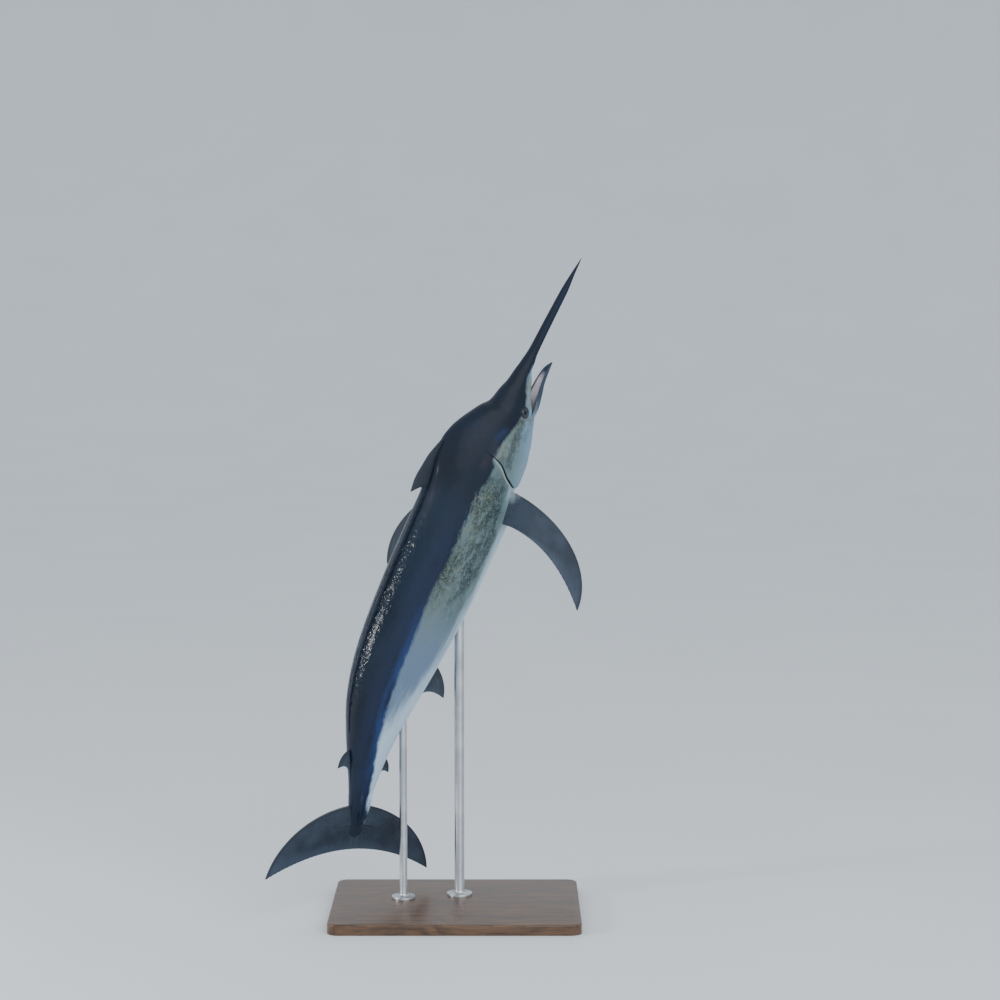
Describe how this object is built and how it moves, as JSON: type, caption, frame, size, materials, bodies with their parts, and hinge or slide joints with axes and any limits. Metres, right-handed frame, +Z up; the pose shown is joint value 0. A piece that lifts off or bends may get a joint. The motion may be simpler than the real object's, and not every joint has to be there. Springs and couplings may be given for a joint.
{
  "type": "black marlin on a display stand",
  "caption": "Life-size leaping black marlin, long bill raised and sickle fins out, held by steel rods on a flat wooden base.",
  "frame": {"origin": "centre of the stand's underside, on the floor", "axes": "+Z up; +X to the right as the camera sees it, the side to which the bill leans; -Y towards the camera, which sees the fish's right side"},
  "size_m": [1.7452, 1, 3.6875],
  "materials": {
    "marlin_skin": "wet skin, slate blue-black above, mottled silver-green side and white belly",
    "bill_skin": "rough dark slate bill and lower jaw, paler inside the mouth",
    "fin_skin": "dark slate membrane over fine rays",
    "eye_gloss": "glossy dark eye with a grey iris",
    "stand_wood": "oiled dark hardwood, satin",
    "stand_steel": "brushed"
  },
  "bodies": {
    "root": {"bill": "bill_skin", "head": "marlin_skin", "lower_jaw": "bill_skin", "eye_right": "eye_gloss", "eye_left": "eye_gloss", "trunk_front": "marlin_skin", "trunk_middle": "marlin_skin", "trunk_rear": "marlin_skin", "tail_stalk": "marlin_skin", "keel_upper_right": "marlin_skin", "keel_upper_left": "marlin_skin", "keel_lower_right": "marlin_skin", "keel_lower_left": "marlin_skin", "dorsal_fin_first": "fin_skin", "dorsal_fin_second": "fin_skin", "anal_fin_first": "fin_skin", "anal_fin_second": "fin_skin", "pectoral_fin_right": "fin_skin", "pectoral_fin_left": "fin_skin", "pelvic_fin_right": "fin_skin", "pelvic_fin_left": "fin_skin", "tail_fin_upper": "fin_skin", "tail_fin_lower": "fin_skin", "stand_base": "stand_wood", "stand_rod_front": "stand_steel", "stand_rod_rear": "stand_steel"}
  },
  "joints": []
}
